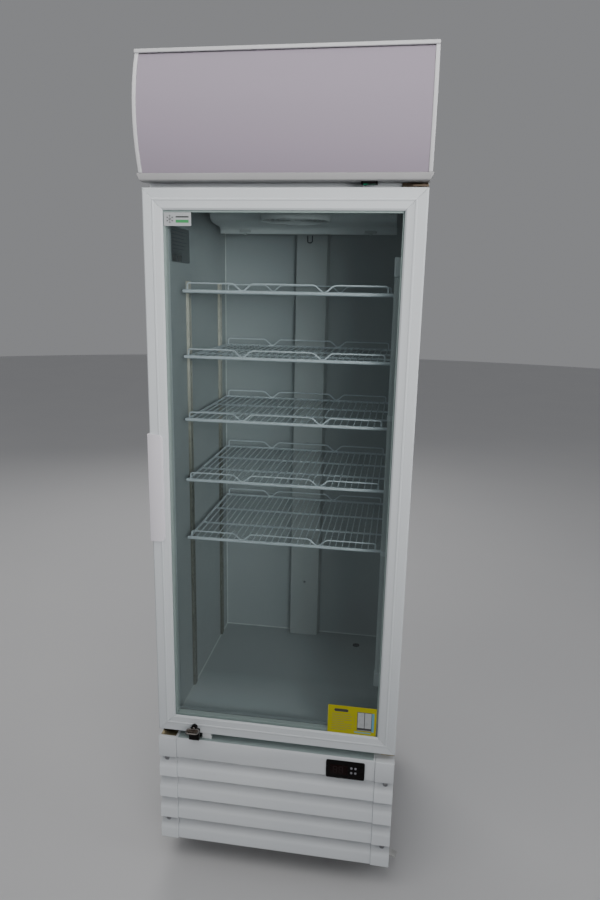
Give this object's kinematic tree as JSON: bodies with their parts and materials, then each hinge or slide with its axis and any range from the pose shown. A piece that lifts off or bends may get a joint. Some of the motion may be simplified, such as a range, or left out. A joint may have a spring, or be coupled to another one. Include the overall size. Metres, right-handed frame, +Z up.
{
  "type": "glass door merchandiser",
  "caption": "Upright single-door display fridge with a hinged glass door, sign canopy, wire shelves, louvred kick panel and castors.",
  "frame": {"origin": "on the floor under the middle of the object's box", "axes": "+Z up, -Y the front with the door, +X the side of the door hinges (the right as seen from the front)"},
  "size_m": [0.6304, 0.634, 1.963],
  "materials": {
    "white_paint": "smooth powder coat",
    "white_plastic": "satin moulded",
    "grey_plastic": "satin moulded",
    "liner_plastic": "satin moulded sheet",
    "foam": "cut foam",
    "black_steel": "semi-gloss",
    "black_plastic": "gloss",
    "sign_sheet": "translucent satin sheet",
    "aluminium": "brushed",
    "zinc_steel": "zinc plated",
    "wire_coating": "plastic dipped wire",
    "rubber": "soft extruded seal",
    "castor_rubber": "moulded tyre",
    "glass": "clear, green edge",
    "lamp": "frosted cover",
    "switch_green": "translucent rocker"
  },
  "bodies": {
    "cabinet": {"outer_casing": "white_paint", "canopy_housing": "white_paint", "rear_grille": "white_paint", "kick_panel": "white_plastic", "kick_cap_left": "white_plastic", "kick_cap_right": "white_plastic", "canopy_bottom_rail": "grey_plastic", "inner_liner": "liner_plastic", "evaporator_cover": "liner_plastic", "air_duct": "liner_plastic", "foam_insulation": "foam", "base_frame": "black_steel", "compressor": "black_steel", "condenser_fan_housing": "black_steel", "controller_body": "black_plastic", "sign_panel": "sign_sheet", "canopy_frame": "aluminium", "condenser_coil": "aluminium", "evaporator_coil": "aluminium", "top_hinge": "zinc_steel", "bottom_hinge": "zinc_steel", "pilaster_front_left": "zinc_steel", "pilaster_rear_left": "zinc_steel", "pilaster_front_right": "zinc_steel", "pilaster_rear_right": "zinc_steel", "led_tube": "lamp", "canopy_lamp": "lamp"},
    "door": {"door_stile_left": "white_plastic", "door_stile_right": "white_plastic", "door_rail_top": "white_plastic", "door_rail_bottom": "white_plastic", "glass_outer": "glass", "glass_spacer": "aluminium", "glass_inner": "glass", "door_gasket": "rubber", "door_handle": "white_plastic", "lock_body": "black_plastic"},
    "key": {"lock_key": "black_plastic"},
    "sign_switch": {"rocker_switch": "switch_green"},
    "button_1": {"controller_button_1": "grey_plastic"},
    "button_2": {"controller_button_2": "grey_plastic"},
    "button_3": {"controller_button_3": "grey_plastic"},
    "button_4": {"controller_button_4": "grey_plastic"},
    "shelf_1_tray": {"shelf_1": "wire_coating"},
    "shelf_2_tray": {"shelf_2": "wire_coating"},
    "shelf_3_tray": {"shelf_3": "wire_coating"},
    "shelf_4_tray": {"shelf_4": "wire_coating"},
    "shelf_5_tray": {"shelf_5": "wire_coating"},
    "fork_front_left": {"castor_fork_front_left": "zinc_steel"},
    "wheel_front_left": {"castor_wheel_front_left": "castor_rubber"},
    "brake_front_left": {"castor_brake_front_left": "zinc_steel"},
    "fork_front_right": {"castor_fork_front_right": "zinc_steel"},
    "wheel_front_right": {"castor_wheel_front_right": "castor_rubber"},
    "brake_front_right": {"castor_brake_front_right": "zinc_steel"},
    "fork_rear_left": {"castor_fork_rear_left": "zinc_steel"},
    "wheel_rear_left": {"castor_wheel_rear_left": "castor_rubber"},
    "fork_rear_right": {"castor_fork_rear_right": "zinc_steel"},
    "wheel_rear_right": {"castor_wheel_rear_right": "castor_rubber"},
    "evaporator_rotor": {"evaporator_fan": "black_plastic"},
    "condenser_rotor": {"condenser_fan": "black_plastic"}
  },
  "joints": [
    {"name": "door_swing", "type": "hinge", "parent": "cabinet", "child": "door", "pos_m": [0.285, -0.267, 1.05], "axis": [0, 0, 1], "range_deg": [0, 110]},
    {"name": "key_turn", "type": "hinge", "parent": "door", "child": "key", "pos_m": [-0.2035, -0.2995, 0.4165], "axis": [0, 1, 0], "range_deg": [0, 90]},
    {"name": "sign_switch_rock", "type": "hinge", "parent": "cabinet", "child": "sign_switch", "pos_m": [0.18, -0.275, 1.7101], "axis": [0, 1, 0], "range_deg": [0, 12]},
    {"name": "button_1_press", "type": "slide", "parent": "cabinet", "child": "button_1", "axis": [0, 1, 0], "range_m": [0, 0.0008], "stiffness_N_per_m": 200},
    {"name": "button_2_press", "type": "slide", "parent": "cabinet", "child": "button_2", "axis": [0, 1, 0], "range_m": [0, 0.0008], "stiffness_N_per_m": 200},
    {"name": "button_3_press", "type": "slide", "parent": "cabinet", "child": "button_3", "axis": [0, 1, 0], "range_m": [0, 0.0008], "stiffness_N_per_m": 200},
    {"name": "button_4_press", "type": "slide", "parent": "cabinet", "child": "button_4", "axis": [0, 1, 0], "range_m": [0, 0.0008], "stiffness_N_per_m": 200},
    {"name": "shelf_1_lift", "type": "slide", "parent": "cabinet", "child": "shelf_1_tray", "axis": [0, 0, 1], "range_m": [0, 0.02]},
    {"name": "shelf_2_lift", "type": "slide", "parent": "cabinet", "child": "shelf_2_tray", "axis": [0, 0, 1], "range_m": [0, 0.02]},
    {"name": "shelf_3_lift", "type": "slide", "parent": "cabinet", "child": "shelf_3_tray", "axis": [0, 0, 1], "range_m": [0, 0.02]},
    {"name": "shelf_4_lift", "type": "slide", "parent": "cabinet", "child": "shelf_4_tray", "axis": [0, 0, 1], "range_m": [0, 0.02]},
    {"name": "shelf_5_lift", "type": "slide", "parent": "cabinet", "child": "shelf_5_tray", "axis": [0, 0, 1], "range_m": [0, 0.02]},
    {"name": "swivel_front_left", "type": "hinge", "parent": "cabinet", "child": "fork_front_left", "pos_m": [-0.236, -0.204, 0.07], "axis": [0, 0, 1], "continuous": true},
    {"name": "roll_front_left", "type": "hinge", "parent": "fork_front_left", "child": "wheel_front_left", "pos_m": [-0.23982, -0.18233, 0.0275], "axis": [-0.9848, -0.1736, 0], "continuous": true},
    {"name": "brake_front_left_press", "type": "hinge", "parent": "fork_front_left", "child": "brake_front_left", "pos_m": [-0.2419, -0.17052, 0.06], "axis": [-0.9848, -0.1736, 0], "range_deg": [0, 20]},
    {"name": "swivel_front_right", "type": "hinge", "parent": "cabinet", "child": "fork_front_right", "pos_m": [0.236, -0.204, 0.07], "axis": [0, 0, 1], "continuous": true},
    {"name": "roll_front_right", "type": "hinge", "parent": "fork_front_right", "child": "wheel_front_right", "pos_m": [0.25767, -0.20782, 0.0275], "axis": [0.1736, 0.9848, 0], "continuous": true},
    {"name": "brake_front_right_press", "type": "hinge", "parent": "fork_front_right", "child": "brake_front_right", "pos_m": [0.26948, -0.2099, 0.06], "axis": [0.1736, 0.9848, 0], "range_deg": [0, 20]},
    {"name": "swivel_rear_left", "type": "hinge", "parent": "cabinet", "child": "fork_rear_left", "pos_m": [-0.236, 0.25, 0.07], "axis": [0, 0, 1], "continuous": true},
    {"name": "roll_rear_left", "type": "hinge", "parent": "fork_rear_left", "child": "wheel_rear_left", "pos_m": [-0.22848, 0.22933, 0.0275], "axis": [0.9397, 0.342, 0], "continuous": true},
    {"name": "swivel_rear_right", "type": "hinge", "parent": "cabinet", "child": "fork_rear_right", "pos_m": [0.236, 0.25, 0.07], "axis": [0, 0, 1], "continuous": true},
    {"name": "roll_rear_right", "type": "hinge", "parent": "fork_rear_right", "child": "wheel_rear_right", "pos_m": [0.22848, 0.22933, 0.0275], "axis": [0.9397, -0.342, 0], "continuous": true},
    {"name": "evaporator_fan_spin", "type": "hinge", "parent": "cabinet", "child": "evaporator_rotor", "pos_m": [0, -0.088, 1.682], "axis": [0, 0, 1], "continuous": true},
    {"name": "condenser_fan_spin", "type": "hinge", "parent": "cabinet", "child": "condenser_rotor", "pos_m": [-0.06, -0.098, 0.205], "axis": [0, 1, 0], "continuous": true}
  ]
}
